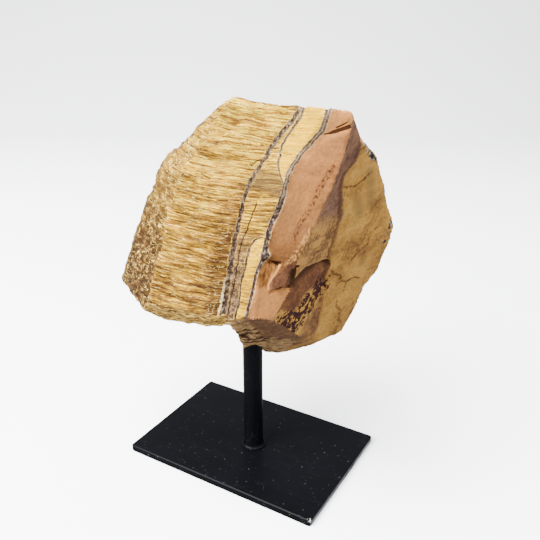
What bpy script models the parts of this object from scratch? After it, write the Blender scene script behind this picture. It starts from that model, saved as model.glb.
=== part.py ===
# Rough slab of tiger's eye on a steel rod, welded to a flat steel plate.
# Metres, +Z up. The origin is the centre of the plate's underside, +X runs along its long side.

import bpy
import bmesh
import numpy as np
from math import radians, sin, cos, pi
from mathutils import Vector, noise

MM = 0.001
GAP = 0.3 * MM

PLATE_LENGTH = 130 * MM
PLATE_WIDTH = 88 * MM
PLATE_THICK = 4.5 * MM
PLATE_CORNER = 1.6 * MM
PLATE_EDGE = 0.4 * MM

ROD_DIAMETER = 12 * MM
ROD_X = 2 * MM
ROD_Y = -2 * MM
ROD_TOP = 104 * MM

BEAD_WIDTH = 1.7 * MM
BEAD_HEIGHT = 2.2 * MM

# The stone's own frame: X across its layers, Y into its thickness, Z up along its layers
STONE_CENTRE = Vector((2 * MM, -2 * MM, 152 * MM))
STONE_LEAN = radians(15)
STONE_PITCH = radians(-6)
STONE_TURN = radians(3)
STONE_HALF_BOX = Vector((62, 48, 62))
STONE_CUTS = 28

LUMP_SIZE = 17.0
LUMP_HEIGHT = 1.5
LEDGE_SIZE = 7.0
LEDGE_HEIGHT = 0.9


def stone_breaks(ray):
    """The flat breaks that bound the stone, seen along rays from its centre (an array of unit
    vectors). A break with unit normal n at distance d stops a ray r at d / (r . n). The nearest
    break ends the stone, and in a hollow corner the farther of its two or three breaks does.
    Returns the stopping distance, the number of the break that stops each ray, the breaks as
    n / d, and how rough each break is."""
    planes, roughness = [], []

    def to(turn, tilt, distance, rough=1.0):
        a, b = radians(turn), radians(tilt)
        n = np.array((sin(a) * cos(b), -cos(a) * cos(b), sin(b))) / distance
        planes.append(n)
        roughness.append(rough)
        return ray @ n, np.full(len(ray), len(planes) - 1)

    def pick(choose, breaks):
        near = np.array([b[0] for b in breaks])
        label = np.array([b[1] for b in breaks])
        best = choose(near, axis=0)
        every = np.arange(len(ray))
        return near[best, every], label[best, every]

    def cut(*breaks):
        return pick(np.argmax, breaks)

    def hollow(*breaks):
        return pick(np.argmin, breaks)

    # The fibrous front and the darker bevels on its left
    fibre_face = to(0, 0, 36)
    left_bevel_upper = to(-30, 10, 49.5)
    left_bevel_lower = to(-34, 0, 47)
    left_end_upper = to(-92, 30, 50.5)
    left_end_lower = to(-88, 9, 61)
    left_foot = to(-16, -63, 76)

    # The top slopes down to the back
    top_left = to(-87, 43, 57.5)
    top_front = to(-149, 64, 52)
    top_right = to(-125, 60, 46)
    top_corner = to(81, 58, 95)

    # The smooth mudstone to the right of the last seam, with chips below it
    mud_upper = to(39, -9, 37, 0.15)
    mud_lower = to(38, 0.5, 45.5, 0.15)
    mud_step = to(75, -65, 15.5, 0.2)
    chip = to(45, -4, 46.5, 0.2)
    chip_left = to(13, -11, 39, 0.2)
    chip_step = to(75, -67, 29.5, 0.2)
    tan_face = to(54, 3, 43.5, 0.15)

    # The ochre side behind the mudstone's ridge
    ridge_side_upper = to(82, 0, 49, 0.5)
    ridge_side_lower = to(75, -4, 46, 0.5)
    overhang = to(75, -59, 24, 0.2)
    brown_hollow = to(75, -4, 45.3, 0.3)
    ochre_face = to(65, -8, 41.8, 0.5)
    notch_side = to(133, 43, 66)
    notch_floor = to(118, 60, 78.5)
    right_end_2 = to(135, 41, 69.5)
    right_end_3 = to(138, 10, 74)
    right_end_4 = to(146, -8, 76.5)
    right_end_5 = to(147, -20, 70.5)
    right_end_6 = to(143, 10, 66)
    ochre_foot = to(79, -40, 73)

    # The back
    back_right = to(174, 0, 60)
    back_left = to(-161, -5, 40.5)
    back_top = to(-171, 37, 52.5)
    back_foot = to(-165, -40, 64)

    # The underside, with the lobe that holds the rod hanging lower than the left part
    front_foot = to(13, -36, 54)
    left_under = to(84, -66, 50)
    left_under_end = to(-15, -68, 72)
    lobe_wall = to(-66, -22, 12.5)
    lobe_front = to(49, -39, 55)
    lobe_right = to(61, -37, 60)
    lobe_base = to(-2, -81, 75.5)

    stop, label = cut(
        fibre_face, left_bevel_upper, left_bevel_lower, left_end_upper, left_end_lower, left_foot,
        top_left, hollow(top_front, top_right), top_corner,
        hollow(mud_upper, mud_lower),
        hollow(tan_face, mud_step, cut(chip, chip_left, chip_step)),
        hollow(ridge_side_upper, ochre_face), hollow(ridge_side_lower, ochre_face),
        hollow(brown_hollow, overhang, ochre_face),
        hollow(notch_side, notch_floor), right_end_2, right_end_3, right_end_4,
        hollow(right_end_5, right_end_6), ochre_foot,
        back_right, back_left, back_top, back_foot,
        hollow(front_foot, lobe_wall), hollow(left_under, lobe_wall), left_under_end,
        lobe_front, lobe_right, lobe_base,
    )
    return 1 / stop, label, np.array(planes), np.array(roughness)


def unit(rows):
    return rows / np.linalg.norm(rows, axis=1)[:, None]


def sharpen(ray, edges):
    """Slides a ray that ends close to the line where two breaks meet onto that line, so that the
    stone's ridges come out crisp on a coarse mesh."""
    _, label, planes, _ = stone_breaks(ray)
    near_end = np.concatenate((edges[:, 0], edges[:, 1]))
    far_end = np.concatenate((edges[:, 1], edges[:, 0]))
    across = planes[label[near_end]] - planes[label[far_end]]
    here = (across * ray[near_end]).sum(axis=1)
    there = (across * ray[far_end]).sum(axis=1)
    with np.errstate(divide="ignore", invalid="ignore"):
        step = here / (here - there)
    good = (label[near_end] != label[far_end]) & (step > 0) & (step < 0.5)
    order = np.argsort(-step[good])
    moved = ray.copy()
    start, end, step = near_end[good][order], far_end[good][order], step[good][order]
    moved[start] = ray[start] + (ray[end] - ray[start]) * step[:, None]
    return unit(moved)


def split_along_breaks(bm, ray):
    """Cuts each four-sided face in two along the diagonal that lies closer to the breaks, so that
    no triangle bridges a ridge."""
    bm.faces.ensure_lookup_table()
    corners = np.array([[v.index for v in f.verts] for f in bm.faces])
    point = ray * stone_breaks(ray)[0][:, None]
    miss = []
    for a, b in ((0, 2), (1, 3)):
        middle = (point[corners[:, a]] + point[corners[:, b]]) / 2
        distance = np.linalg.norm(middle, axis=1)
        miss.append(abs(distance - stone_breaks(middle / distance[:, None])[0]))
    for face, first in zip(list(bm.faces), miss[0] <= miss[1]):
        corner = list(face.verts)
        ends = corner[0::2] if first else corner[1::2]
        bmesh.utils.face_split(face, *ends)


def stone_relief(point, rough):
    """Lumps, and ledges that run along the fibres, in millimetres for a point in millimetres."""
    lump = noise.fractal(point / LUMP_SIZE, 0.7, 2.0, 2)
    along_fibres = Vector((point.x * 0.35, point.y, point.z)) / LEDGE_SIZE
    ledge = noise.noise(along_fibres + Vector((7, 3, 5)))
    return rough * (LUMP_HEIGHT * lump + LEDGE_HEIGHT * ledge)


def material(name, colour, roughness, metallic):
    m = bpy.data.materials.new(name)
    m.use_nodes = True
    shader = m.node_tree.nodes["Principled BSDF"]
    shader.inputs["Base Color"].default_value = (*colour, 1)
    shader.inputs["Roughness"].default_value = roughness
    shader.inputs["Metallic"].default_value = metallic
    return m


def collection(name):
    c = bpy.data.collections.new(name)
    bpy.context.scene.collection.children.link(c)
    return c


def add(name, bm, home, finish=None):
    mesh = bpy.data.meshes.new(name)
    bm.to_mesh(mesh)
    bm.free()
    piece = bpy.data.objects.new(name, mesh)
    home.objects.link(piece)
    if finish:
        mesh.materials.append(finish)
    return piece


def cylinder(radius, depth):
    bm = bmesh.new()
    bmesh.ops.create_cone(bm, cap_ends=True, segments=48, radius1=radius, radius2=radius, depth=depth)
    return bm


def make_plate(home, finish):
    bm = bmesh.new()
    bmesh.ops.create_cube(bm, size=1)
    bmesh.ops.scale(bm, vec=(PLATE_LENGTH, PLATE_WIDTH, PLATE_THICK), verts=bm.verts)
    upright = [e for e in bm.edges if abs(e.verts[0].co.z - e.verts[1].co.z) > PLATE_THICK / 2]
    bmesh.ops.bevel(bm, geom=upright, offset=PLATE_CORNER, segments=4, profile=0.5, affect="EDGES")
    rim = [e for e in bm.edges if abs(e.verts[0].co.z - e.verts[1].co.z) < PLATE_THICK / 2]
    bmesh.ops.bevel(bm, geom=rim, offset=PLATE_EDGE, segments=1, profile=0.5, affect="EDGES")
    plate = add("base_plate", bm, home, finish)
    plate.location.z = PLATE_THICK / 2
    return plate


def make_rod(home, finish):
    foot = PLATE_THICK + GAP
    rod = add("rod", cylinder(ROD_DIAMETER / 2, ROD_TOP - foot), home, finish)
    rod.location = (ROD_X, ROD_Y, (foot + ROD_TOP) / 2)
    rod.data.shade_smooth()
    rod.data.set_sharp_from_angle(angle=radians(40))
    return rod


def make_weld_bead(home, finish):
    """A ring round the rod's foot, its outer side curved inwards like a small fillet weld."""
    inner = ROD_DIAMETER / 2 + GAP
    foot = PLATE_THICK + GAP
    steps = 5
    profile = [(inner, foot + BEAD_HEIGHT)]
    for i in range(steps + 1):
        a = pi / 2 * i / steps
        profile.append((inner + BEAD_WIDTH * (1 - 0.8 * cos(a)), foot + BEAD_HEIGHT * (1 - 0.8 * sin(a))))
    profile.append((inner + BEAD_WIDTH, foot))
    profile.append((inner, foot))
    bm = bmesh.new()
    ring = [bm.verts.new((x, 0, z)) for x, z in profile]
    for a, b in zip(ring, ring[1:] + ring[:1]):
        bm.edges.new((a, b))
    bead = add("weld_bead", bm, home, finish)
    bead.location = (ROD_X, ROD_Y, 0)
    turn = bead.modifiers.new("turn", "SCREW")
    turn.steps = turn.render_steps = 32
    turn.use_merge_vertices = True
    turn.merge_threshold = 0.01 * MM
    return bead


def make_stone(home, cutters, finish):
    bm = bmesh.new()
    bmesh.ops.create_cube(bm, size=2)
    bmesh.ops.subdivide_edges(bm, edges=bm.edges, cuts=STONE_CUTS - 1, use_grid_fill=True)
    bm.verts.ensure_lookup_table()
    edges = np.array([[v.index for v in e.verts] for e in bm.edges])
    ray = unit(np.array([v.co * STONE_HALF_BOX for v in bm.verts]))
    ray = sharpen(ray, edges)
    split_along_breaks(bm, ray)
    reach, label, _, roughness = stone_breaks(ray)
    for v, r, length, rough in zip(bm.verts, ray, reach, roughness[label]):
        point = Vector(r) * length
        v.co = point * (1 + stone_relief(point, rough) / length) * MM
    stone = add("stone", bm, home, finish)
    stone.location = STONE_CENTRE
    stone.rotation_mode = "YXZ"
    stone.rotation_euler = (STONE_PITCH, STONE_LEAN, STONE_TURN)

    socket_foot = 60 * MM
    socket_top = ROD_TOP + GAP
    socket = add("rod_socket", cylinder(ROD_DIAMETER / 2 + GAP, socket_top - socket_foot), cutters)
    socket.location = (ROD_X, ROD_Y, (socket_foot + socket_top) / 2)
    socket.hide_render = True
    socket.display_type = "WIRE"
    drill = stone.modifiers.new("drill", "BOOLEAN")
    drill.operation = "DIFFERENCE"
    drill.object = socket
    return stone


def main():
    for old in list(bpy.data.objects):
        bpy.data.objects.remove(old, do_unlink=True)
    slab = collection("rough_tigers_eye_slab")
    cutters = collection("cutters")
    black_paint = material("matte black paint", (0.012, 0.012, 0.014), 0.55, 0.0)
    tigers_eye = material("rough tiger's eye", (0.50, 0.33, 0.14), 0.6, 0.0)
    make_plate(slab, black_paint)
    make_rod(slab, black_paint)
    make_weld_bead(slab, black_paint)
    make_stone(slab, cutters, tigers_eye)


main()
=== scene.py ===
from itertools import product
from math import cos, pi, radians, sin

import bpy
import numpy as np
from mathutils import Euler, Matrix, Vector


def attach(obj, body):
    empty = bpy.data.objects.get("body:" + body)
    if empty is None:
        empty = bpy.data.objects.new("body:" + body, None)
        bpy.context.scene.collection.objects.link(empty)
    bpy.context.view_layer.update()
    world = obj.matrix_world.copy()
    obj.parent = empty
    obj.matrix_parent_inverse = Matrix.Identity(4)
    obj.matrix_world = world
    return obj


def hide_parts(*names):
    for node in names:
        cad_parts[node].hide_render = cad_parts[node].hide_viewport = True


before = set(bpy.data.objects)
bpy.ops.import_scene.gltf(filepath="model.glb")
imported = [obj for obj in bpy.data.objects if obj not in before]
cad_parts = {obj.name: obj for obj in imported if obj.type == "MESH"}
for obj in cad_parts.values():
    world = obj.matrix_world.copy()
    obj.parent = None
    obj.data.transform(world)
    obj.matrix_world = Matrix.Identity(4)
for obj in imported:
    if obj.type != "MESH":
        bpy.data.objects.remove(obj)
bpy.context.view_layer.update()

# Camera: a 43 mm lens a little above the slab, seen from the front right. The photograph's frame is
# 540 pixels wide, and the lens is 650 of those pixels from the image.
frame_pixels, lens_pixels, sensor = 540, 650, 36.0
camera_azimuth, camera_elevation = radians(30.7), radians(22.9)
camera = bpy.data.objects.new("camera", bpy.data.cameras.new("camera"))
bpy.context.scene.collection.objects.link(camera)
camera.data.sensor_width = sensor
camera.data.lens = sensor * lens_pixels / frame_pixels
camera.location = (0.1868, -0.2926, 0.2713)
camera.rotation_euler = (radians(90) - camera_elevation, 0, camera_azimuth)
bpy.context.scene.camera = camera


# Table and backdrop: one white paper sweep, matte, that curves up far behind the object.
def linear(code):
    """The linear colour of an sRGB hex code such as #d8b77c."""
    srgb = np.array([int(code[i:i + 2], 16) for i in (1, 3, 5)]) / 255
    return (*np.where(srgb <= 0.04045, srgb / 12.92, ((srgb + 0.055) / 1.055) ** 2.4), 1.0)


def node(tree, kind, inputs=None, stops=None, size=None, **settings):
    """Adds a shader node. inputs lists the sockets' values in their order, or maps a socket's name or
    number to its value. A value may be another node or one of its outputs. A MapRange takes a value,
    the low and high end that it comes from, and those that it goes to. stops gives a colour ramp's
    places and hex colours, size gives a pattern's spots their length, width and height in
    millimetres, and settings are the node's properties."""
    made = tree.nodes.new("ShaderNode" + kind)
    for name, value in settings.items():
        setattr(made, name, value)
    inputs = dict(inputs if isinstance(inputs, dict) else enumerate(inputs or ()))
    if size:
        scale = [1 / side for side in size]
        inputs["Vector"] = node(tree, "Mapping", {"Vector": inputs["Vector"], "Scale": scale})
        inputs.setdefault("Scale", 1)
    for name, value in inputs.items():
        if isinstance(value, bpy.types.Node):
            value = next(output for output in value.outputs if output.enabled)
        if isinstance(value, bpy.types.NodeSocket):
            tree.links.new(value, made.inputs[name])
        else:
            made.inputs[name].default_value = value
    if stops:
        ramp = made.color_ramp.elements
        while len(ramp) < len(stops):
            ramp.new(0.5)
        for mark, (place, code) in zip(ramp, stops):
            mark.position = place
            mark.color = linear(code)
    return made


def new_material(name):
    made = bpy.data.materials.new(name)
    made.use_nodes = True
    return made, made.node_tree, made.node_tree.nodes["Principled BSDF"]


def surface(name, points, faces, smooth=True):
    """A mesh object at the origin from arrays of points (metres) and faces of equal length."""
    mesh = bpy.data.meshes.new(name)
    mesh.vertices.add(len(points))
    mesh.vertices.foreach_set("co", np.asarray(points, dtype=np.float32).ravel())
    corners = faces.shape[1]
    mesh.loops.add(faces.size)
    mesh.loops.foreach_set("vertex_index", faces.astype(np.int32).ravel())
    mesh.polygons.add(len(faces))
    mesh.polygons.foreach_set("loop_start", np.arange(0, faces.size, corners, dtype=np.int32))
    mesh.update(calc_edges=True)
    mesh.polygons.foreach_set("use_smooth", np.full(len(faces), smooth))
    made = bpy.data.objects.new(name, mesh)
    bpy.context.scene.collection.objects.link(made)
    return made


paper, _, paper_shader = new_material("white paper sweep")
paper_shader.inputs["Base Color"].default_value = linear("#e9eaec")
paper_shader.inputs["Roughness"].default_value = 0.9
sweep_reach, sweep_bend = 3.0, 1.2
flat = np.linspace(-sweep_reach, 1.0, 9)
bend = np.linspace(0, pi / 2, 25)
run = np.concatenate((flat, 1.0 + sweep_bend * np.sin(bend[1:]), [1.0 + sweep_bend]))
rise = np.concatenate((flat * 0, sweep_bend * (1 - np.cos(bend[1:])), [4.0]))
side = np.linspace(-4, 4, 5)
run, side_grid = np.meshgrid(run, side, indexing="ij")
rise = np.repeat(rise[:, None], len(side), axis=1)
away = np.array((-sin(camera_azimuth), cos(camera_azimuth), 0))
right = np.array((cos(camera_azimuth), sin(camera_azimuth), 0))
sweep_points = (run[..., None] * away + side_grid[..., None] * right
                + rise[..., None] * np.array((0, 0, 1))).reshape(-1, 3)
row = len(side)
first = (np.arange(run.shape[0] - 1)[:, None] * row + np.arange(row - 1)).ravel()
sweep = surface("sweep", sweep_points, np.stack((first, first + 1, first + row + 1, first + row), axis=1))
sweep.data.materials.append(paper)

# Light: one large softbox above the object and one in front of it on the left, a weaker one on the
# right, and a pale surround. The paper has a softbox of its own overhead, and sends no light back.
def softbox(name, azimuth, elevation, distance, size, power):
    lamp = bpy.data.lights.new(name, "AREA")
    lamp.shape = "SQUARE"
    lamp.size = size
    lamp.energy = power
    made = bpy.data.objects.new(name, lamp)
    bpy.context.scene.collection.objects.link(made)
    a, e = radians(azimuth), radians(elevation)
    way = Vector((sin(a) * cos(e), -cos(a) * cos(e), sin(e)))
    made.location = way * distance + Vector((0, 0, 0.12))
    made.rotation_euler = way.to_track_quat("Z", "Y").to_euler()
    return made


softbox("top_softbox", 10, 78, 1.2, 1.0, 36)
softbox("front_softbox", -25, 35, 1.2, 0.8, 62)
softbox("right_softbox", 85, 30, 1.4, 0.9, 10)
paper_lamp = softbox("paper_softbox", -40, 60, 1.6, 1.4, 225)
paper_only = bpy.data.collections.new("paper only")
paper_only.objects.link(sweep)
paper_lamp.light_linking.receiver_collection = paper_only
sweep.visible_diffuse = False
sweep.visible_glossy = False
world = bpy.data.worlds.new("pale surround")
bpy.context.scene.world = world
world.use_nodes = True
world.node_tree.nodes["Background"].inputs["Color"].default_value = linear("#eef0f3")
world.node_tree.nodes["Background"].inputs["Strength"].default_value = 0.9


# Stone: one rough piece of tiger's eye, broken and not polished. Its layers stand nearly upright:
# golden fibrous quartz in front, gray seams, smooth pinkish tan mudstone, and an ochre rind.
MM = 0.001
stone_centre = Vector((2, -2, 152)) * MM
stone_turn = Euler((radians(-6), radians(15), radians(3)), "YXZ")
stone_half_box = np.array((62, 48, 62))
stone_cells = (102, 80, 218)


def stone_breaks(ray):
    """The flat breaks that bound the stone, seen along rays from its centre (an array of unit
    vectors). A break with unit normal n at distance d stops a ray r at d / (r . n). The nearest
    break ends the stone, and in a hollow corner the farther of its two or three breaks does.
    Returns the stopping distance, the number of the break that stops each ray, the breaks as
    n / d, how rough each break is and what it shows."""
    planes, roughness, looks = [], [], []

    def to(turn, tilt, distance, rough=1.0, look="fibre"):
        a, b = radians(turn), radians(tilt)
        n = np.array((sin(a) * cos(b), -cos(a) * cos(b), sin(b))) / distance
        planes.append(n)
        roughness.append(rough)
        looks.append(look)
        return ray @ n, np.full(len(ray), len(planes) - 1)

    def pick(choose, breaks):
        near = np.array([b[0] for b in breaks])
        label = np.array([b[1] for b in breaks])
        best = choose(near, axis=0)
        every = np.arange(len(ray))
        return near[best, every], label[best, every]

    def cut(*breaks):
        return pick(np.argmax, breaks)

    def hollow(*breaks):
        return pick(np.argmin, breaks)

    # The fibrous front and the darker bevels on its left
    fibre_face = to(0, 0, 36)
    left_bevel_upper = to(-30, 10, 49.5, 1.0, "bevel")
    left_bevel_lower = to(-34, 0, 47, 1.0, "bevel")
    left_end_upper = to(-92, 30, 50.5, 1.0, "crust")
    left_end_lower = to(-88, 9, 61, 1.0, "crust")
    left_foot = to(-16, -63, 76, 1.0, "foot")

    # The top slopes down to the back
    top_left = to(-87, 43, 57.5, 1.0, "bevel")
    top_front = to(-149, 64, 52, 1.0, "end")
    top_right = to(-125, 60, 46, 1.0, "end")
    top_corner = to(81, 58, 95, 0.6, "mud")

    # The smooth mudstone to the right of the last seam, with chips below it
    mud_upper = to(39, -9, 37, 0.15, "mud")
    mud_lower = to(38, 0.5, 45.5, 0.15, "mud")
    mud_step = to(75, -65, 15.5, 0.2, "mud")
    chip = to(45, -4, 46.5, 0.2, "chip")
    chip_left = to(13, -11, 39, 0.2, "chip")
    chip_step = to(75, -67, 29.5, 0.2, "chip")
    tan_face = to(54, 3, 43.5, 0.15, "mud")

    # The ochre side behind the mudstone's ridge
    ridge_side_upper = to(82, 0, 49, 0.5, "ridge side")
    ridge_side_lower = to(75, -4, 46, 0.5, "ridge side")
    overhang = to(75, -59, 24, 0.2, "hollow")
    brown_hollow = to(75, -4, 45.3, 0.3, "hollow")
    ochre_face = to(65, -8, 41.8, 0.5, "ochre")
    notch_side = to(133, 43, 66, 1.0, "ochre")
    notch_floor = to(118, 60, 78.5, 1.0, "ochre")
    right_end_2 = to(135, 41, 69.5, 1.0, "ochre")
    right_end_3 = to(138, 10, 74, 1.0, "ochre")
    right_end_4 = to(146, -8, 76.5, 1.0, "ochre")
    right_end_5 = to(147, -20, 70.5, 1.0, "ochre")
    right_end_6 = to(143, 10, 66, 1.0, "ochre")
    ochre_foot = to(79, -40, 73, 1.0, "ochre")

    # The back
    back_right = to(174, 0, 60)
    back_left = to(-161, -5, 40.5)
    back_top = to(-171, 37, 52.5)
    back_foot = to(-165, -40, 64, 1.0, "foot")

    # The underside, with the lobe that holds the rod hanging lower than the left part
    front_foot = to(13, -36, 54, 1.0, "foot")
    left_under = to(84, -66, 50, 1.0, "foot")
    left_under_end = to(-15, -68, 72, 1.0, "foot")
    lobe_wall = to(-66, -22, 12.5, 1.0, "lobe")
    lobe_front = to(49, -39, 55, 1.0, "lobe")
    lobe_right = to(61, -37, 60, 0.5, "lobe right")
    lobe_base = to(-2, -81, 75.5, 1.0, "lobe")

    stop, label = cut(
        fibre_face, left_bevel_upper, left_bevel_lower, left_end_upper, left_end_lower, left_foot,
        top_left, hollow(top_front, top_right), top_corner,
        hollow(mud_upper, mud_lower),
        hollow(tan_face, mud_step, cut(chip, chip_left, chip_step)),
        hollow(ridge_side_upper, ochre_face), hollow(ridge_side_lower, ochre_face),
        hollow(brown_hollow, overhang, ochre_face),
        hollow(notch_side, notch_floor), right_end_2, right_end_3, right_end_4,
        hollow(right_end_5, right_end_6), ochre_foot,
        back_right, back_left, back_top, back_foot,
        hollow(front_foot, lobe_wall), hollow(left_under, lobe_wall), left_under_end,
        lobe_front, lobe_right, lobe_base,
    )
    return 1 / stop, label, np.array(planes), np.array(roughness), np.array(looks)


def unit(rows):
    return rows / np.linalg.norm(rows, axis=1)[:, None]


def box_rays(cells, half):
    """Points spread evenly over a box's six sides, with the four-sided faces between them, corners
    in order so that each face looks outwards."""
    count = np.array(cells) + 1
    index = np.stack(np.meshgrid(*[np.arange(n) for n in count], indexing="ij"), axis=-1)
    outer = ((index == 0) | (index == count - 1)).any(axis=-1)
    number = np.full(count, -1)
    number[outer] = np.arange(outer.sum())
    points = (index[outer] / np.array(cells) * 2 - 1) * half
    faces = []
    for axis in range(3):
        for end in (0, -1):
            side = np.take(number, end, axis=axis)
            square = np.stack((side[:-1, :-1], side[1:, :-1], side[1:, 1:], side[:-1, 1:]), axis=-1)
            turned = (axis == 1) != (end == 0)
            square = square.reshape(-1, 4)
            faces.append(square[:, ::-1] if turned else square)
    return points, np.concatenate(faces)


def sharpen(ray, faces):
    """Slides a ray that ends close to the line where two breaks meet onto that line."""
    edges = np.concatenate([faces[:, (i, (i + 1) % 4)] for i in range(4)])
    _, label, planes, _, _ = stone_breaks(ray)
    near_end = np.concatenate((edges[:, 0], edges[:, 1]))
    far_end = np.concatenate((edges[:, 1], edges[:, 0]))
    across = planes[label[near_end]] - planes[label[far_end]]
    here = (across * ray[near_end]).sum(axis=1)
    there = (across * ray[far_end]).sum(axis=1)
    with np.errstate(divide="ignore", invalid="ignore"):
        step = here / (here - there)
    good = (label[near_end] != label[far_end]) & (step > 0) & (step < 0.5)
    order = np.argsort(-step[good])
    moved = ray.copy()
    start, end, step = near_end[good][order], far_end[good][order], step[good][order]
    moved[start] = ray[start] + (ray[end] - ray[start]) * step[:, None]
    return unit(moved)


def bumps(point, size, seed):
    """Smooth random heights between -1 and 1, one bump to each size (x, y, z): random numbers at
    the corners of a grid of that size, blended across each of its cells."""
    place = point / np.array(size)
    cell = np.floor(place).astype(np.int64)
    part = place - cell
    part = part * part * (3 - 2 * part)
    total = np.zeros(len(point))
    for corner in product((0, 1), repeat=3):
        key = (cell + corner) @ np.array((374761393, 668265263, 1442695041)) + seed * 1274126177
        key = (key ^ (key >> 13)) * 1103515245 & 0xffffffff
        key = (key ^ (key >> 16)) * 2246822519 & 0xffffffff
        value = (key ^ (key >> 15)) / 0x80000000 - 1
        total += value * np.where(corner, part, 1 - part).prod(axis=1)
    return total


def ledges(height, step):
    """Turns a smooth height into flat treads with short steep risers, one step apart."""
    level = height / step
    floor = np.floor(level)
    part = np.clip((level - floor - 0.5) * 4 + 0.5, 0, 1)
    return (floor + part) * step


def rise(value, low, high):
    """0 below low, 1 above high and a smooth S between them, or the reverse where low > high."""
    part = np.clip((value - low) / (high - low), 0, 1)
    return part * part * (3 - 2 * part)


def first_seam(z):
    """How far across the stone the first gray seam stands at height z: a shallow curve."""
    return np.interp(z, (-56, -38, -23, -5, 2, 14, 25, 30, 37, 43, 49, 61, 71, 77),
                     (15.5, 14.7, 13.2, 10.9, 10, 9.1, 8.3, 8.4, 9.2, 10.8, 12.9, 16.1, 20.8, 23.2))


def last_seam(z):
    """The same for the seam that parts the fibres from the mudstone."""
    return np.interp(z, (-56, -31, -17, -6, 0, 14, 19, 28, 37, 42, 47, 52, 58, 63, 68, 72, 77),
                     (29, 27.8, 27.5, 26.4, 27.4, 26.4, 26.1, 27.2, 27.5, 26.9, 26.8, 27.8, 29.7, 31.9, 34,
                      35.9, 36.1))


def hair_seam(z):
    """The same for the hair-thin dark seam between those two."""
    return np.interp(z, (-50, -38, -13, -6, 1, 6, 12, 19, 28),
                     (18, 17.5, 15.7, 14.8, 14, 13.5, 14.6, 14.8, 15.7))


def lens_edge(z):
    """The same for the left edges of the two pale lenses that end at the last seam, one high up and
    one low down. Between them the edge runs out past the last seam."""
    return np.interp(z, (-50, -25, -15, -8, -1, 4, 9, 12.4, 13, 40, 42, 44, 48, 52, 56, 60, 76),
                     (23, 21.9, 19.6, 19.8, 19, 19, 19.8, 24, 29, 29, 25.7, 23.5, 21, 20.3, 19.9, 19.7,
                      24.9))


def fibre_height(x, z):
    """Height across the fibres, which climb to the right, more and more steeply: z - 0.155 u - c u^2
    with u = x + 30 mm, where the square counts only for u > 0, and less near the top."""
    u = x + 30
    return z - 0.155 * u - 0.0023 * (1 - 0.45 * rise(z, 20, 60)) * np.maximum(u, 0) ** 2


def from_lines(points, *lines):
    """Distance of points from the nearest of several bent lines, each a row of corners, all with two
    coordinates. The nearest place between two corners lies the share (p - start) . way / way . way
    of the way from one to the other, kept from 0 to 1."""
    best = np.full(len(points), np.inf)
    for line in lines:
        corners = np.array(line, dtype=float)
        for start, end in zip(corners[:-1], corners[1:]):
            way = end - start
            share = np.clip((points - start) @ way / (way @ way), 0, 1)
            distance = np.linalg.norm(points - start - share[:, None] * way, axis=1)
            best = np.minimum(best, distance)
    return best


box_points, stone_faces = box_rays(stone_cells, stone_half_box)
ray = sharpen(unit(box_points), stone_faces)
reach, label, planes, roughness, looks = stone_breaks(ray)
plain = ray * reach[:, None]
x, y, z = plain.T
along = np.stack((x, y, fibre_height(x, z)), axis=1)
rough = roughness[label]
look = looks[label]
first = x - first_seam(z)
last = x - last_seam(z)
hair = x - hair_seam(z)
lens = x - lens_edge(z)
fibrous = np.isin(look, ("fibre", "bevel", "crust", "foot", "lobe", "end")) & (last < 0)

# Relief in millimetres: broad lumps, broken ledges along the fibres, curls on the worn left bevels,
# grooves at the seams and a split along the fibres low on the left
relief = rough * 1.2 * bumps(plain, (16, 16, 16), 1)
relief += rough * 0.6 * bumps(plain, (7, 7, 7), 2)
fibre_step = ledges(0.55 * bumps(along, (15, 20, 2.6), 3) + 0.45 * bumps(along, (8, 11, 1.3), 4), 0.3)
fibre_step += 0.16 * bumps(along, (5, 7, 0.9), 7)
crinkle = 0.9 * bumps(along, (4.5, 5, 3), 5) + 0.6 * bumps(along, (2.4, 2.6, 1.6), 6)
in_lens = rise(lens, -0.4, 0.4)
left_of_front = np.interp(z, (-60, -45, -6, 24, 45, 66, 72), (-29, -31, -33, -29.5, -21, -13, -10)) - x
on_left = np.isin(look, ("fibre", "bevel")) & (y < -8) | (look == "bevel")
weathered = np.where(on_left, rise(left_of_front, -0.5, 2.5), look == "crust")
relief -= np.where(look == "fibre", 0.24 * np.maximum(left_of_front, 0), 0)
relief -= np.where(look == "bevel", 1.4 * rise(y + 36, 6, 0) * rise(left_of_front, 0, 3), 0)
in_front = np.isin(look, ("fibre", "bevel"))
relief += in_front * fibre_step * (1 - 0.75 * in_lens) * (1 - 0.6 * weathered)
relief += in_front * 0.65 * crinkle * weathered
relief += np.where(np.isin(look, ("crust", "foot", "lobe", "end")), 0.45 * fibre_step + 0.6 * crinkle, 0)
relief += np.where(fibrous, -0.8 * np.exp(-(first / 1.2) ** 2) - 0.5 * np.exp(-(hair / 0.7) ** 2)
                   - 0.6 * np.exp(-(lens / 0.7) ** 2) - 0.8 * np.exp(-(last / 1.3) ** 2)
                   - 0.4 * rise(first, 0, 1), 0)
split_below = np.interp(x, (-36, -23, -8, -2), (-15, -10, -6, 0)) - z
low_left = fibrous & (x < 0) & (y < 0)
relief -= low_left * 0.7 * rise(split_below, 0, 0.6) * rise(split_below, 16, 3)
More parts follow.
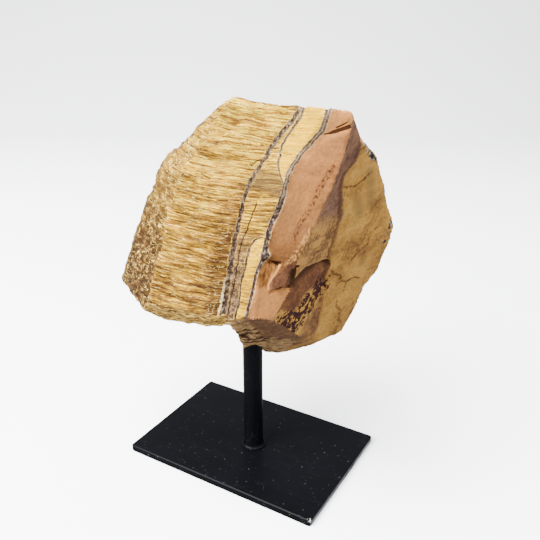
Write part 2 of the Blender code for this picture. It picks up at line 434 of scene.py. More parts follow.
# The top corner and the left shoulder swell
peak = ((x + 19) / 10) ** 2 + ((y + 34) / 11) ** 2 + ((z - 64) / 9) ** 2
relief += 2.6 * np.exp(-peak)
shoulder = ((x + 46) / 13) ** 2 + ((y + 26) / 16) ** 2 + ((z - 22) / 12) ** 2
relief += 3.0 * np.exp(-shoulder)
front_view = plain[:, (0, 2)]
short_cracks = from_lines(
    front_view, ((7, 44), (8.5, 46), (12, 49)), ((3, 53.4), (8, 53.8), (11, 55)), ((-19, 29.5), (-13, 29)),
    ((-28, 4), (-20, 5.5)), ((-6, 20), (0, 22.5)))
short_cracks = np.where(fibrous & (y < -30), short_cracks, 9)
relief -= 0.4 * np.exp(-(short_cracks / 0.7) ** 2)
# A knob where the last seam bulges
knob = np.exp(-((x - 29) ** 2 + (z - 5) ** 2) / 5) * (y < -20)
relief += 1.4 * knob

# Two cracks and a shallow step near the mudstone's top. Low down, small flakes have come off it:
# a dark notch, and two facets with a crack under the right one.
on_mud = np.isin(look, ("mud", "chip"))
open_crack = z - np.interp(x, (36.4, 38.7, 40.7, 42.6, 44.3, 52), (70.4, 71.7, 73, 74.5, 75.9, 82))
open_crack_width = np.where(on_mud & (x > 36) & (x < 46.5), 0.3 + 0.9 * rise(x, 37, 41), -1)
relief -= np.where(open_crack_width > 0, 1.5 * np.exp(-(open_crack / 1.3) ** 2), 0)
thin_crack = z - np.interp(x, (40.4, 42.1, 43.9, 52), (74.6, 76.1, 78, 86))
thin_crack_width = np.where(on_mud & (x > 40.2) & (x < 44), 0.4, -1)
relief -= np.where(thin_crack_width > 0, 0.6 * np.exp(-(thin_crack / 0.8) ** 2), 0)
step_line = 67.8 + 0.45 * (x - 39.4)
relief += np.where(on_mud, 0.7 * rise(x, 37, 41) * rise(z, step_line - 0.5, step_line + 0.5)
                   * rise(step_line + 7 - z, 0, 6), 0)
mud_waves = 0.35 * bumps(plain, (9, 9, 13), 8) + 0.12 * bumps(plain, (3, 3, 4), 9)
relief += np.where(on_mud & (z > 5), mud_waves, 0)
flake_edge = np.interp(z, (-16.5, -11.6, -5, 1.5), (33.6, 32.4, 34.2, 35.3))
orange = on_mud * rise(last, 0, 1.2) * rise(flake_edge - x, 0, 0.8) * rise(z, -16, -13) * rise(z, 2.2, 1.2)
notch = z - 1.1
notch_width = np.where(on_mud & (x > 30.6) & (x < flake_edge), 0.35 + 1.0 * rise(x, 31, 34), -1)
relief -= orange * 0.8 + np.where(notch_width > 0, 2.0 * np.exp(-((notch + 0.4) / 1.2) ** 2), 0)
low_crack = z - np.interp(x, (34, 38, 41), (-16.7, -13.2, -13.6))
low_crack_width = np.where(np.isin(look, ("mud", "chip", "hollow")) & (x > 33.6) & (x < 41.6),
                           0.1 + 0.5 * rise(x, 34, 37), -1)
relief -= np.where(low_crack_width > 0, 1.6 * np.exp(-(low_crack / 0.9) ** 2), 0)
flake = (look == "chip") * rise(x - flake_edge, 0, 0.8) * rise(z, -17, -15.5)
flake *= rise(z - 1.1 * (x - 38), 3.5, 1.5)
dotted = from_lines(
    front_view, ((43, 56), (42, 51), (40.4, 44), (39.6, 37.6), (38.8, 30.7), (37.5, 23.7), (37, 14)))
ridge_highlight = from_lines(front_view, ((38.5, 2), (40, 8), (41.5, 14), (42.5, 22)))

# The side behind the ridge: brown rock drops away below an overhanging lip, and the flat ochre rind
# beyond stands a little proud of both
side_view = plain[:, (1, 2)]
on_side = np.isin(look, ("ridge side", "hollow", "ochre", "lobe right"))
lip = np.interp(y, (-23, -21.2, -20.4, -18, -15, -11, -4, 4, 9),
                (2, 1, -8, -4, -1.5, 0.3, 1.0, 1.0, -1)) - z
lip *= 0.65 + 0.35 * rise(y, -14, -8) + 1.2 * rise(y, -6, 2)
riser_y = np.interp(z, (-48, -35, -23, -11.5, -0.5, 8, 18, 31, 45, 51, 56, 60, 65, 69, 80),
                    (22.7, 18, 13.6, 8.7, 5.3, 1.1, -1.2, -5.2, -12.5, -15.3, -14.7, -13.2, -13, -15, -15))
inside = riser_y - y
relief += np.where(on_side, 0.35 * rough * crinkle + 0.5 * ledges(bumps(plain, (9, 9, 11), 10), 0.5)
                   + 0.2 * bumps(plain, (3.5, 3.5, 4.5), 11), 0)
sunk = 1.2 * rise(inside, 0, 1.6) * rise(inside, 12, 3) * rise(z, -50, -30) * rise(z, 76, 66)
undercut = 2.2 * rise(inside, 0, 1) * rise(lip, 0, 1.0) * rise(lip, 18, 3)
relief -= np.where(on_side, sunk + undercut, 0)

stone_point = plain + ray * relief[:, None]
turn_matrix = np.array(stone_turn.to_matrix())
stone = surface("tigers_eye", stone_point * MM @ turn_matrix.T + np.array(stone_centre), stone_faces)


def store(piece, name, values):
    """Keeps one number, or one vector, for each point of a piece, for its material to read."""
    kind, field = ("FLOAT_VECTOR", "vector") if values.ndim == 2 else ("FLOAT", "value")
    kept = piece.data.attributes.new(name, kind, "POINT")
    kept.data.foreach_set(field, values.ravel().astype(np.float32))


# Depth below the skin of the left end, for the thin crust that shows at its edge
end_planes = planes[np.isin(looks, ("crust",))]
skin = ((1 - plain @ end_planes.T) / np.linalg.norm(end_planes, axis=1)).min(axis=1)

# Marks on the ochre side, by depth y and height z: fine cracks, gray iron stains, manganese blooms
# and a black and white crust where it ends
side_crack = from_lines(
    side_view, ((-12.5, 46), (-6, 46.3), (-3.7, 50), (-1.8, 54)), ((-6, 66), (-3, 62)),
    ((9, -6), (12, -9), (17, -10), (20, -14), (24, -15), (28, -12), (33, -13)), ((17, -10), (19, -18)),
    ((24, -15), (27, -22)), ((26, -30), (28, -34), (33, -37), (35, -44), (39, -47)),
    ((19, 1), (21, 6), (24, 11), (22, 18), (25, 24)))
gray_stain = from_lines(side_view, ((-5, 43), (1, 37), (7, 30)),
                        ((-2.5, 55), (1.5, 49), (10, 37), (16, 34)), ((24, 8), (29, -2)))
bloom = from_lines(side_view, ((7, -16), (4, -22), (-1, -28), (-6, -35), (-11, -42)),
                   ((7, -21), (5, -29), (0, -36), (-4, -45)), ((-6, -33), (-17, -37)))
outer_crust = from_lines(
    side_view, ((-13, 69), (-10, 66.5), (-5, 63), (-1, 61)), ((15, 52), (19, 46), (21, 43)),
    ((32, 27), (34, 18), (35, 12)))

# The first seam is wider low down, and the last one thinner there
first_shown = first * (1 - 0.25 * rise(z, 15, -5))
last_shown = last * (1 - 0.6 * knob) * (1 + 0.6 * rise(z, 2, -8) + 0.2 * rise(z, 30, 45))
hair_shown = np.where(z > 28, 9, hair)
for name, values in (
    ("in_stone", plain), ("along_fibres", along), ("first_seam", first_shown), ("last_seam", last_shown),
    ("hair_seam", hair_shown), ("lens_edge", lens), ("weathered", weathered), ("skin", skin),
    ("groove_shade_and_light", np.clip(0.5 + 0.8 * fibre_step + 0.35 * weathered * crinkle, 0, 1)),
    ("short_cracks", short_cracks), ("dotted", dotted), ("ridge_highlight", ridge_highlight),
    ("open_crack", open_crack), ("open_crack_width", open_crack_width), ("thin_crack", thin_crack),
    ("thin_crack_width", thin_crack_width), ("low_crack", low_crack), ("low_crack_width", low_crack_width),
    ("notch", notch), ("notch_width", notch_width),
    ("orange", orange), ("flake", flake), ("flake_edge", x - flake_edge),
    ("inside", inside), ("lip", lip), ("side_crack", side_crack), ("gray_stain", gray_stain),
    ("bloom", bloom), ("outer_crust", outer_crust),
    ("swirl", np.hypot((y + 8) * 0.62 - (z + 57) * 0.3, (z + 57) + (y + 8) * 0.35)),
):
    store(stone, name, values)


def read(tree, name, output="Fac"):
    return node(tree, "Attribute", attribute_name=name).outputs[output]


# Fibrous quartz, golden, with cream threads and brown ones: it gives the eye the fine combed lines
# of the broad front. Gray gritty seams with pale rims run down it, and two smooth pale lenses. The
# bevels on its left broke across the fibres and are browner, with painted highlights along their
# curls, and the left end has a thin patchy crust, brown with pale specks.
def seam_cover(tree, distance, half_width, soft, drift):
    """How much of a seam shows at this distance from its middle, which wavers by drift mm."""
    waver = node(tree, "TexNoise", {"Vector": read(tree, "in_stone", "Vector"), "Detail": 4},
                 size=(4, 4, 3.5))
    centred = node(tree, "Math", (waver, -0.5), operation="ADD")
    moved = node(tree, "Math", (centred, 2.5 * drift, distance), operation="MULTIPLY_ADD")
    away = node(tree, "Math", (moved,), operation="ABSOLUTE")
    return node(tree, "MapRange", (away, half_width - soft, half_width + soft, 1.0, 0.0))


def times(tree, first_share, second_share):
    return node(tree, "Math", (first_share, second_share), operation="MULTIPLY")


def over(tree, share, below, above):
    """A colour laid over another as far as share, from 0 to 1, says."""
    return node(tree, "Mix", {0: share, 6: below, 7: above}, data_type="RGBA").outputs[2]


def finish_surface(tree, shader, body, roughness, gloss, raised, strength, depth):
    """Gives a shader its colour, roughness and specular level, and raises its surface by a pattern
    that is depth metres deep."""
    tree.links.new(body, shader.inputs["Base Color"])
    shader.inputs["Roughness"].default_value = roughness
    shader.inputs["Specular IOR Level"].default_value = gloss
    bump = node(tree, "Bump", {"Height": raised, "Strength": strength, "Distance": depth})
    tree.links.new(bump.outputs[0], shader.inputs["Normal"])


def last_seam_over(tree, body):
    """The gritty seam between fibres and mudstone: dark gray, with a thin broken pale rim, and high up
    darker, with a pale core."""
    past_last, place = read(tree, "last_seam"), read(tree, "in_stone", "Vector")
    grit = node(tree, "TexNoise", {"Vector": place, "Detail": 4, "Roughness": 0.7},
                size=(1.3, 1.3, 1.6))
    height = node(tree, "SeparateXYZ", {0: place}).outputs[2]
    broken = node(tree, "MapRange", (grit, 0.42, 0.5))
    body = over(tree, times(tree, seam_cover(tree, past_last, 1.5, 0.2, 0.6), broken), body,
                linear("#d2b67c"))
    dark = node(tree, "ValToRGB", {"Fac": grit},
                stops=((0.38, "#1f1714"), (0.50, "#382b27"), (0.58, "#554540"), (0.68, "#a08b70")))
    light = node(tree, "ValToRGB", {"Fac": grit},
                 stops=((0.36, "#362822"), (0.48, "#56463e"), (0.57, "#705f54"), (0.68, "#a08b70")))
    upper = node(tree, "MapRange", (height, 30, 48))
    body = over(tree, seam_cover(tree, past_last, 1.2, 0.2, 0.6), body, over(tree, upper, dark, light))
    core = seam_cover(tree, past_last, 0.3, 0.25, 0.6)
    return over(tree, times(tree, times(tree, core, upper), 0.7), body, linear("#b09468"))


fibre, tree, shader = new_material("fibrous tiger's eye quartz")
place, along_fibres = read(tree, "in_stone", "Vector"), read(tree, "along_fibres", "Vector")
height = node(tree, "SeparateXYZ", {0: place}).outputs[2]
past_first, past_lens = read(tree, "first_seam"), read(tree, "lens_edge")

# Split ledges, streaks, threads, broad tones and crumb, drawn out along the fibres. Real threads are
# about 0.1 mm thick. Here they are 0.6 mm, because finer ones wouldn't show.
split, streak, thread, tone, crumb = (
    node(tree, "TexNoise", {"Vector": along_fibres, "Detail": detail, "Roughness": roughness}, size=size)
    for size, detail, roughness in (
        ((20, 26, 1.8), 4, 0.6), ((16, 22, 1.1), 4, 0.65), ((10, 14, 0.6), 3, 0.6), ((10, 30, 9), 4, 0.6),
        ((3, 3, 1.3), 4, 0.7)))
sawn = node(tree, "Math", (times(tree, split, 16.0),), operation="FRACT")
value = node(tree, "MapRange", (height, -50, 65, -0.53, -0.40))
value = node(tree, "Math", (value, node(tree, "MapRange", (height, -58, -46, -0.09, 0.0))), operation="ADD")
for pattern, weight in ((thread, 1.15), (streak, 0.4), (tone, 0.3), (sawn, 0.2)):
    value = node(tree, "Math", (pattern, weight, value), operation="MULTIPLY_ADD")
beside = node(tree, "MapRange", (past_first, -14, -5, 0.0, -0.16), interpolation_type="SMOOTHSTEP")
lower = node(tree, "MapRange", (height, 40, 15))
beside = times(tree, beside, node(tree, "MapRange", (past_first, 0, 1.5, 1.0, 0.2)))
value = node(tree, "Math", (value, times(tree, beside, lower)), operation="ADD")
body = node(tree, "ValToRGB", {"Fac": value},
            stops=((0.26, "#3f2713"), (0.36, "#5a3c1f"), (0.436, "#755125"), (0.5, "#916526"),
                   (0.564, "#ad7c20"), (0.64, "#dba31a"), (0.74, "#fbd244"))).outputs[0]
behind = node(tree, "MapRange", (node(tree, "SeparateXYZ", {0: place}).outputs[1], -12, 18))
dull = node(tree, "ValToRGB", {"Fac": value}, stops=(
    (0.26, "#33251a"), (0.36, "#503c26"), (0.436, "#6f5635"), (0.5, "#8c6d43"), (0.564, "#a68654"),
    (0.64, "#c6a56c"), (0.74, "#e0c68c"))).outputs[0]
body = over(tree, times(tree, behind, 0.6), body, dull)

# The two lenses are a paler, smoother gold, except near the low one's foot
in_wedge = node(tree, "MapRange", (past_lens, -0.3, 0.5))
pale = over(tree, behind, node(tree, "ValToRGB", {"Fac": value}, stops=(
    (0.26, "#96660c"), (0.36, "#cc9408"), (0.45, "#f0b208"), (0.55, "#ffc30a"))), linear("#d8b673"))
dimmed = times(tree, node(tree, "MapRange", (height, -13, -16, 0.0, 0.6)),
               node(tree, "MapRange", (height, -30, -26)))
pale = over(tree, dimmed, pale, body)
body = over(tree, in_wedge, body, pale)

# Painted shade in the grooves and painted light on the raised ledges, painted highlights as pale
# flecks, painted shade along dark hair cracks and a painted shadow under each split ledge
groove_shade_and_light = node(tree, "MapRange", (read(tree, "groove_shade_and_light"), 0.0, 1.0, 0.5, 1.3))
groove_shade_and_light = node(tree, "Mix", {0: times(tree, in_wedge, 0.7), 2: groove_shade_and_light, 3: 1.0})
body = node(tree, "Mix", {0: 1.0, 6: body, 7: node(tree, "CombineXYZ", (groove_shade_and_light, groove_shade_and_light, groove_shade_and_light))},
            data_type="RGBA", blend_type="MULTIPLY").outputs[2]
# Painted highlights: pale gold flecks along the fibres, fewer toward the first seam
fleck = node(tree, "TexNoise", {"Vector": along_fibres, "Detail": 2}, size=(5.5, 7, 0.7))
fleck_highlight = node(tree, "MapRange", (fleck, 0.62, 0.66, 0.0, 0.85))
fleck_highlight = times(tree, fleck_highlight, node(tree, "MapRange", (past_first, -32, -12, 1.0, 0.4)))
body = over(tree, fleck_highlight, body, linear("#ffe48c"))
# Painted shade: thin dark brown lines along the fibres, for hair cracks
hair_crack_shade = node(tree, "TexNoise", {"Vector": along_fibres, "Detail": 2}, size=(14, 18, 2.6))
hair_crack_shade = node(tree, "Math", (hair_crack_shade, 0.57, 0.007), operation="COMPARE")
body = over(tree, times(tree, hair_crack_shade, 0.75), body, linear("#3a220e"))
# Painted shadow: a dark brown line under each split ledge, left out in the lenses
ledge_shadow = node(tree, "MapRange", (sawn, 0.14, 0.0, 0.0, 0.85))
body = over(tree, times(tree, ledge_shadow, node(tree, "Math", (1.0, in_wedge), operation="SUBTRACT")), body,
            linear("#452d12"))

# The worn bevels, whose curls carry painted highlights in pale gold, and a few such painted
# highlights on curls left of the first seam
weather = read(tree, "weathered")
patch = node(tree, "TexNoise", {"Vector": place, "Detail": 4, "Roughness": 0.6}, size=(10, 10, 9))
curl = node(tree, "TexNoise", {"Vector": along_fibres, "Detail": 3, "Roughness": 0.55, "Distortion": 0.8},
            size=(8, 8, 5))
worn_value = node(tree, "MapRange", (height, -40, 45, -0.96, -0.89))
for pattern, weight in ((patch, 0.8), (crumb, 1.35), (streak, 0.5)):
    worn_value = node(tree, "Math", (pattern, weight, worn_value), operation="MULTIPLY_ADD")
worn = node(tree, "ValToRGB", {"Fac": worn_value},
            stops=((0.28, "#25150b"), (0.38, "#362314"), (0.446, "#452f1b"), (0.5, "#573d20"),
                   (0.56, "#6e4e23"), (0.66, "#946a24"), (0.80, "#d5a52c"))).outputs[0]
golden = node(tree, "MapRange", (height, -20, 40, 0.05, 0.5))
worn = over(tree, golden, worn, body)
from_curl = node(tree, "Math", (curl, -0.53), operation="ADD")
from_curl = node(tree, "Math", (from_curl,), operation="ABSOLUTE")
glint = node(tree, "MapRange", (from_curl, 0.013, 0.005, 0.0, 0.9))
broken = node(tree, "MapRange", (crumb, 0.38, 0.47))
glint = times(tree, glint, broken)
worn = over(tree, glint, worn, linear("#f0cc6c"))
ragged = node(tree, "Math", (node(tree, "Math", (patch, -0.5), operation="ADD"), 2.5, weather),
              operation="MULTIPLY_ADD")
body = over(tree, node(tree, "MapRange", (ragged, 0.3, 0.8)), body, worn)
near_seam = node(tree, "MapRange", (past_first, -12, -6, 0.0, 0.6))
near_seam = times(tree, near_seam, node(tree, "MapRange", (past_first, 0.0, -1.0)))
body = over(tree, times(tree, times(tree, near_seam, glint), lower), body, linear("#e3be6c"))

# Mottled brown between the seams low down, a shaded band high up, then the seams and their rims
grit = node(tree, "TexNoise", {"Vector": place, "Detail": 4, "Roughness": 0.7}, size=(1.3, 1.3, 1.6))
mottled = node(tree, "MapRange", (grit, 0.45, 0.53, 0.95, 0.0))
below_lens = node(tree, "MapRange", (past_lens, 0.2, -1.2))
between = times(tree, node(tree, "MapRange", (past_first, 0.5, 1.5)),
                node(tree, "MapRange", (height, 14, -8)))
between = times(tree, between, below_lens)
body = over(tree, times(tree, between, 0.55), body, linear("#8a6f55"))
body = over(tree, times(tree, between, mottled), body, linear("#4b382e"))
shadow_band = times(tree, node(tree, "MapRange", (height, 33, 36)),
                    node(tree, "MapRange", (height, 47, 43)))
shadow_band = times(tree, shadow_band, node(tree, "MapRange", (past_first, 0.5, 1.5)))
body = over(tree, times(tree, times(tree, shadow_band, below_lens), 0.6), body, linear("#5e4836"))
upper = node(tree, "MapRange", (height, 25, 55))
first_fill = over(tree, upper,
                  node(tree, "ValToRGB", {"Fac": grit}, stops=(
                      (0.36, "#221814"), (0.46, "#3b2c25"), (0.55, "#554337"), (0.66, "#9a8360"))),
                  node(tree, "ValToRGB", {"Fac": grit}, stops=(
                      (0.36, "#33261f"), (0.46, "#504136"), (0.55, "#6d5c4c"), (0.66, "#a89068"))))
rim = seam_cover(tree, past_first, 1.5, 0.2, 1.1)
body = over(tree, times(tree, rim, mottled), body, linear("#cfa445"))
body = over(tree, seam_cover(tree, past_first, 1.15, 0.2, 1.1), body, first_fill)
past_edge = node(tree, "Math", (past_first, 1.7), operation="ADD")
white_edge = times(tree, seam_cover(tree, past_edge, 0.5, 0.25, 1.1),
                   node(tree, "MapRange", (height, -17, -25, 0.0, 0.9)))
white_edge = times(tree, white_edge, node(tree, "MapRange", (grit, 0.4, 0.5)))
body = over(tree, white_edge, body, linear("#ead8a4"))
body = over(tree, times(tree, seam_cover(tree, past_lens, 1.1, 0.2, 0.9), mottled), body, linear("#d9b558"))
body = over(tree, seam_cover(tree, past_lens, 0.6, 0.2, 0.9), body, first_fill)
body = over(tree, seam_cover(tree, read(tree, "hair_seam"), 0.35, 0.2, 0.9), body, linear("#2b1f17"))
# Painted shade: near-black brown in the short carved cracks
crack_shade = node(tree, "MapRange", (read(tree, "short_cracks"), 0.25, 0.6, 0.9, 0.0))
body = over(tree, crack_shade, body, linear("#2a1b0e"))
body = last_seam_over(tree, body)

# The thin crust of the left end
speck = node(tree, "TexNoise", {"Vector": place, "Detail": 5, "Roughness": 0.7}, size=(2.2, 2.2, 2.2))
crust = node(tree, "ValToRGB", {"Fac": speck},
             stops=((0.36, "#241a12"), (0.46, "#493823"), (0.54, "#6d5738"), (0.64, "#a8926c"),
                    (0.7, "#cfc09a"))).outputs[0]
skinned = node(tree, "MapRange", (patch, 0.44, 0.52, 0.25, 1.0))
depth = node(tree, "Math", (speck, 6.0, read(tree, "skin")), operation="MULTIPLY_ADD")
at_skin = node(tree, "MapRange", (depth, 5.2, 4.4))
body = over(tree, times(tree, at_skin, skinned), body, crust)
raised = node(tree, "Math", (thread, times(tree, sawn, 0.35)), operation="ADD")
raised = node(tree, "Mix", {0: weather, 2: raised, 3: curl})
finish_surface(tree, shader, body, 0.5, 0.06, raised, 0.7, 0.0012)

# Mudstone: dull, even and pinkish tan, with the faint waves of a shell-like break and a row of dark
# specks. Low down a painted highlight runs along the ridge, and two flakes have left a streaky orange
# facet and a brown one, with a thin painted highlight on the edge between them. Its cracks and the
# notch carry painted shade.
mud, tree, shader = new_material("tan mudstone")
place = read(tree, "in_stone", "Vector")
height = node(tree, "SeparateXYZ", {0: place}).outputs[2]
cloud = node(tree, "TexNoise", {"Vector": place, "Detail": 5, "Roughness": 0.6}, size=(10, 10, 14))
fine = node(tree, "TexNoise", {"Vector": place, "Detail": 4, "Roughness": 0.7}, size=(1.4, 1.4, 1.8))
value = node(tree, "Math", (fine, 0.5, times(tree, cloud, 0.5)), operation="MULTIPLY_ADD")
body = node(tree, "ValToRGB", {"Fac": value},
            stops=((0.38, "#ad7446"), (0.5, "#ca864c"), (0.62, "#e29a52")))
fade = node(tree, "ValToRGB", {"Fac": node(tree, "MapRange", (height, -40, 85))},
            stops=((0.0, "#efefef"), (0.19, "#efefef"), (0.26, "#b8b4b2"), (0.32, "#939090"),
                   (0.385, "#979595"), (0.44, "#b4b4b4"), (0.5, "#cacdcf"), (0.66, "#cccccc"),
                   (0.78, "#ffffff"), (0.92, "#ffffff")))
body = node(tree, "Mix", {0: 1.0, 6: body, 7: fade}, data_type="RGBA", blend_type="MULTIPLY").outputs[2]
dots = times(tree, node(tree, "MapRange", (read(tree, "dotted"), 1.6, 0.9)),
             node(tree, "MapRange", (fine, 0.5, 0.54, 0.0, 0.9)))
body = over(tree, dots, body, linear("#522c1c"))
# Painted highlight: a pale orange tan along the ridge low down
pale = node(tree, "MapRange", (read(tree, "ridge_highlight"), 2.4, 0.8, 0.0, 0.7))
body = over(tree, times(tree, pale, node(tree, "MapRange", (fine, 0.47, 0.55))), body, linear("#d79a58"))
streak = node(tree, "TexNoise", {"Vector": place, "Detail": 4, "Roughness": 0.65}, size=(1.0, 3, 5))
streaky = node(tree, "ValToRGB", {"Fac": streak},
               stops=((0.4, "#5e3a1c"), (0.5, "#86562a"), (0.6, "#a8713a")))
body = over(tree, read(tree, "orange"), body, streaky)
body = over(tree, read(tree, "flake"), body,
            node(tree, "ValToRGB", {"Fac": value},
                 stops=((0.4, "#553523"), (0.5, "#694430"), (0.62, "#83583c"))))
# Painted highlight: a thin pale line on the edge between the orange facet and the brown flake
at_flake = times(tree, node(tree, "MapRange", (height, -17, -16)),
                 node(tree, "MapRange", (height, 1.5, 0.5)))
beside_flake = node(tree, "Math", (read(tree, "flake_edge"),), operation="ABSOLUTE")
edge_highlight = node(tree, "MapRange", (beside_flake, 0.35, 0.15, 0.0, 0.8))
body = over(tree, times(tree, edge_highlight, at_flake), body, linear("#cf9654"))
# Painted shade: near-black brown in the two cracks near the top, the crack under the brown flake and the
# notch
for name in ("open_crack", "thin_crack", "low_crack", "notch"):
    away = node(tree, "Math", (read(tree, name),), operation="ABSOLUTE")
    beyond_crack = node(tree, "Math", (away, read(tree, name + "_width")), operation="SUBTRACT")
    crack = node(tree, "MapRange", (beyond_crack, 0.15, -0.1, 0.0, 0.95))
    body = over(tree, crack, body, linear("#34190c"))
finish_surface(tree, shader, last_seam_over(tree, body), 0.75, 0.1, fine, 0.5, 0.0006)

# Jasper rind on the right: ochre, with iron stains and hair cracks. Behind the ridge it is browner,
# with painted shade in a purplish brown high up, smooth and dark below the lip with a painted shadow
# just under it, and there purple-black manganese has bloomed on yellow patches. Painted shade darkens
# the foot of the small riser where the rind stands proud. A little black and white crust is left
# where it ends.
ochre, tree, shader = new_material("ochre jasper rind")
place = read(tree, "in_stone", "Vector")
height = node(tree, "SeparateXYZ", {0: place}).outputs[2]
below_lip = read(tree, "lip")
cloud = node(tree, "TexNoise", {"Vector": place, "Detail": 6, "Roughness": 0.65}, size=(12, 12, 15))
fine = node(tree, "TexNoise", {"Vector": place, "Detail": 4, "Roughness": 0.7}, size=(1.5, 1.5, 1.9))
value = node(tree, "Math", (fine, 0.5, times(tree, cloud, 1.0)), operation="MULTIPLY_ADD")
value = node(tree, "Math", (value, -0.215), operation="ADD")
body = node(tree, "ValToRGB", {"Fac": value},
            stops=((0.32, "#7b542c"), (0.40, "#966a34"), (0.46, "#a2763a"), (0.5, "#af803c"),
                   (0.54, "#bb873e"), (0.60, "#bd8d44"), (0.68, "#cf9c4a"))).outputs[0]
stain = node(tree, "Math", (cloud, -12.0, read(tree, "gray_stain")), operation="MULTIPLY_ADD")
stain = node(tree, "Math", (fine, -6.0, node(tree, "Math", (stain, 3.0), operation="ADD")),
             operation="MULTIPLY_ADD")
body = over(tree, node(tree, "MapRange", (stain, -3.2, -6.0, 0.0, 0.5)), body, linear("#5f5137"))
wavered = node(tree, "Math", (cloud, -0.5), operation="ADD")
wavered = node(tree, "Math", (wavered, 7.0, read(tree, "inside")), operation="MULTIPLY_ADD")
behind = node(tree, "MapRange", (wavered, -0.3, 0.3))
brown = node(tree, "ValToRGB", {"Fac": value},
             stops=((0.36, "#62442a"), (0.45, "#86603a"), (0.5, "#9b7040"), (0.55, "#ad7e44"),
                    (0.64, "#cc984e")))
# Painted shade: a purplish brown high up behind the ridge
cloudy_height = node(tree, "Math", (cloud, 40.0, height), operation="MULTIPLY_ADD")
purple = node(tree, "MapRange", (cloudy_height, 44, 52))
brown = over(tree, purple, brown, node(tree, "ValToRGB", {"Fac": value}, stops=(
    (0.38, "#5d4234"), (0.5, "#755443"), (0.62, "#8d684e"))))
smooth_brown = node(tree, "ValToRGB", {"Fac": value},
                    stops=((0.38, "#603d28"), (0.5, "#70472d"), (0.62, "#835837")))
hidden = times(tree, node(tree, "MapRange", (below_lip, -0.3, 0.3)),
               node(tree, "MapRange", (below_lip, 62, 30, 0.45)))
brown = over(tree, hidden, brown, smooth_brown)
body = over(tree, behind, body, brown)
# Painted shade: a dark brown strip at the foot of the small riser, where the ochre rind stands proud
edge = node(tree, "MapRange", (node(tree, "Math", (wavered, -1.2), operation="ADD"), -1.2, 0.0))
edge = times(tree, edge, node(tree, "MapRange", (wavered, 2.2, 1.3)))
edge = times(tree, edge, node(tree, "MapRange", (height, -14, -6, 0.2, 0.8)))
body = over(tree, edge, body, linear("#573a29"))
lit_lip = times(tree, times(tree, behind, node(tree, "MapRange", (below_lip, -2.6, -0.8))),
                node(tree, "MapRange", (below_lip, 0.0, -0.4, 0.0, 0.5)))
body = over(tree, lit_lip, body, linear("#c08d55"))
# Painted shadow: a near-black brown band in the hollow just under the lip
shadow_under_lip = times(tree, times(tree, behind, node(tree, "MapRange", (below_lip, -0.2, 0.3))),
                  node(tree, "MapRange", (below_lip, 9.0, 4.5)))
body = over(tree, times(tree, shadow_under_lip, 0.85), body, linear("#38200f"))
ragged = node(tree, "TexNoise", {"Vector": place, "Detail": 5, "Roughness": 0.75}, size=(3.2, 3.2, 3.2))
bloom_reach = node(tree, "Math", (ragged, -26.0, read(tree, "bloom")), operation="MULTIPLY_ADD")
halo_reach = node(tree, "Math", (cloud, -18.0, read(tree, "bloom")), operation="MULTIPLY_ADD")
halo = node(tree, "MapRange", (halo_reach, -0.4, -1.4))
halo = times(tree, halo, node(tree, "MapRange", (height, -15, -21)))
body = over(tree, halo, body, node(tree, "ValToRGB", {"Fac": value}, stops=(
    (0.38, "#916736"), (0.5, "#b3813f"), (0.62, "#cc9848"))))
island = node(tree, "TexNoise", {"Vector": place, "Detail": 3, "Roughness": 0.6}, size=(2.6, 2.6, 3.2))
bloomed = times(tree, node(tree, "MapRange", (bloom_reach, -6.6, -7.2)),
                node(tree, "MapRange", (island, 0.56, 0.53)))
body = over(tree, bloomed, body, linear("#3a1a19"))
from_crack = read(tree, "side_crack")
crack_reach = node(tree, "Math", (fine, 1.0, from_crack), operation="MULTIPLY_ADD")
crack = node(tree, "MapRange", (crack_reach, 0.62, 0.95, 0.85, 0.0))
body = over(tree, crack, body, linear("#43260f"))
spot_reach = node(tree, "Math", (fine, -9.0, from_crack), operation="MULTIPLY_ADD")
spotted = node(tree, "MapRange", (spot_reach, -3.9, -4.3, 0.0, 0.8))
body = over(tree, spotted, body, linear("#54331a"))
crust_reach = node(tree, "Math", (ragged, -8.0, read(tree, "outer_crust")), operation="MULTIPLY_ADD")
crusted = node(tree, "MapRange", (crust_reach, -2.7, -3.2))
body = over(tree, crusted, body, node(tree, "ValToRGB", {"Fac": fine}, stops=(
    (0.45, "#1d1b1d"), (0.53, "#3d3938"), (0.6, "#b8ae9c"))))
finish_surface(tree, shader, body, 0.65, 0.12, value, 0.6, 0.0018)

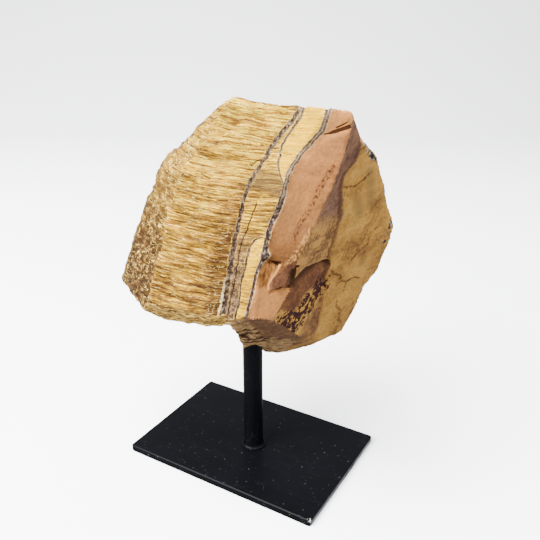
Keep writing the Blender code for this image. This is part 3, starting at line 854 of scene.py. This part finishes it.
# Underside: brown iron-stained fibres in wavy bands, tan under the left part, dark on the lobe,
# where the bands curl round a dark eye, and smooth brown in a strip under the mudstone.
ironstones = []
for name, stops in (
    ("tan fibrous ironstone", ((0.32, "#33241a"), (0.41, "#4a3520"), (0.48, "#5e4426"), (0.535, "#71532b"),
                               (0.59, "#886532"), (0.65, "#b0863f"), (0.73, "#dcb45a"))),
    ("dark fibrous ironstone", ((0.31, "#2c1712"), (0.38, "#4e3828"), (0.446, "#6d523a"), (0.5, "#866746"),
                                (0.554, "#9c7a52"), (0.62, "#b28d5c"), (0.70, "#cfa36e"))),
):
    material, tree, shader = new_material(name)
    place, along_fibres = read(tree, "in_stone", "Vector"), read(tree, "along_fibres", "Vector")
    band = node(tree, "TexNoise",
                {"Vector": along_fibres, "Detail": 5, "Roughness": 0.65, "Distortion": 0.5},
                size=(7, 7, 1.1))
    crumb = node(tree, "TexNoise", {"Vector": along_fibres, "Detail": 4, "Roughness": 0.7},
                 size=(2.4, 2.4, 0.8))
    curl_distance = node(tree, "Math", (band, 7.0, read(tree, "swirl")), operation="MULTIPLY_ADD")
    ring = node(tree, "Math", (times(tree, curl_distance, 1.5),), operation="SINE")
    near_eye = node(tree, "MapRange", (read(tree, "swirl"), 16, 6, 0.0, 0.2))
    dark_eye = node(tree, "MapRange", (read(tree, "swirl"), 12, 3, -0.45, -0.62))
    value = node(tree, "Math", (ring, near_eye, dark_eye), operation="MULTIPLY_ADD")
    for pattern, weight in ((band, 1.2), (crumb, 1.0)):
        value = node(tree, "Math", (pattern, weight, value), operation="MULTIPLY_ADD")
    height = node(tree, "SeparateXYZ", {0: place}).outputs[2]
    strip = times(tree, node(tree, "MapRange", (read(tree, "last_seam"), -3, 0)),
                  node(tree, "MapRange", (height, -59, -55)))
    smooth = node(tree, "ValToRGB", {"Fac": crumb},
                  stops=((0.36, "#6a4c36"), (0.5, "#805c42"), (0.64, "#9a7250")))
    body = over(tree, strip, node(tree, "ValToRGB", {"Fac": value}, stops=stops), smooth)
    finish_surface(tree, shader, body, 0.7, 0.1, value, 0.8, 0.002)
    ironstones.append(material)
foot, lobe = ironstones

shown_by = {"fibre": fibre, "end": fibre, "bevel": fibre, "crust": fibre, "mud": mud, "chip": mud,
            "ochre": ochre, "ridge side": ochre, "hollow": ochre, "lobe right": ochre, "foot": foot,
            "lobe": lobe}
finishes = list(dict.fromkeys(shown_by.values()))
for finish in finishes:
    stone.data.materials.append(finish)
middle_ray = unit(plain[stone_faces].mean(axis=1))
middle_reach, middle_label, _, _, _ = stone_breaks(middle_ray)
middle_x, _, middle_z = (middle_ray * middle_reach[:, None]).T
middle_look = looks[middle_label]
layered = np.isin(middle_look, ("fibre", "end", "mud"))
beyond = middle_x - last_seam(middle_z)
middle_look = np.where(layered & (beyond < 0), "fibre", middle_look)
middle_look = np.where(layered & (beyond >= 0), "mud", middle_look)
middle_look = np.where(layered & (middle_x > 47), "ochre", middle_look)
slots = {name: finishes.index(finish) for name, finish in shown_by.items()}
shown = np.zeros(len(stone_faces), dtype=np.int32)
for name, slot in slots.items():
    shown[middle_look == name] = slot
stone.data.polygons.foreach_set("material_index", shown)
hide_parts("stone")
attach(stone, "root")

# Stand: a flat plate and a round bar of mild steel, welded, and sprayed with matte black paint. The
# paint carries a little pale dust and a few faint scuffs. It is worn to gray low on the right edge,
# and chipped to pale primer at the front corner.
black, tree, shader = new_material("matte black paint on steel")
place = node(tree, "VectorMath", {0: node(tree, "TexCoord").outputs["Object"], 1: (1 / MM,) * 3},
             operation="MULTIPLY")
dust = node(tree, "TexNoise", {"Vector": place, "Detail": 2}, size=(1.5, 1.5, 1.5))
cloudy = node(tree, "TexNoise", {"Vector": place, "Detail": 3}, size=(30, 22, 30))
scuff = node(tree, "TexNoise", {"Vector": place, "Detail": 2}, size=(40, 4, 40))
body = node(tree, "ValToRGB", {"Fac": cloudy}, stops=((0.35, "#050609"), (0.65, "#07080c"))).outputs[0]
side = node(tree, "SeparateXYZ", {0: place})
on_plate = node(tree, "MapRange", (side.outputs[2], 9, 6, 0.1))
dusty = node(tree, "MapRange", (dust, 0.7, 0.74, 0.0, 0.8))
body = over(tree, times(tree, dusty, on_plate), body, linear("#5c5c5a"))
scuffed = node(tree, "Math", (scuff, 0.6, 0.004), operation="COMPARE")
body = over(tree, times(tree, scuffed, 0.3), body, linear("#1f2022"))
worn_edge = times(tree, node(tree, "MapRange", (side.outputs[0], 64.6, 64.9)),
                  node(tree, "MapRange", (side.outputs[2], 3.4, 2.0)))
body = over(tree, times(tree, worn_edge, node(tree, "MapRange", (cloudy, 0.35, 0.6, 0.0, 0.8))), body,
            linear("#a0a1a3"))
corner = node(tree, "VectorMath", {0: place, 1: (64.5, -43.5, 4)}, operation="DISTANCE").outputs["Value"]
chip_reach = node(tree, "Math", (dust, -7.0, corner), operation="MULTIPLY_ADD")
chipped = node(tree, "MapRange", (chip_reach, -2.3, -2.8, 0.0, 0.9))
body = over(tree, chipped, body, linear("#c2beb6"))
grain = node(tree, "TexNoise", {"Vector": place, "Detail": 3}, size=(0.9, 0.9, 0.9))
finish_surface(tree, shader, body, 0.38, 0.07, grain, 0.3, 0.0002)
for name in ("base_plate", "rod", "weld_bead"):
    bpy.data.objects[name].data.materials.clear()
    bpy.data.objects[name].data.materials.append(black)
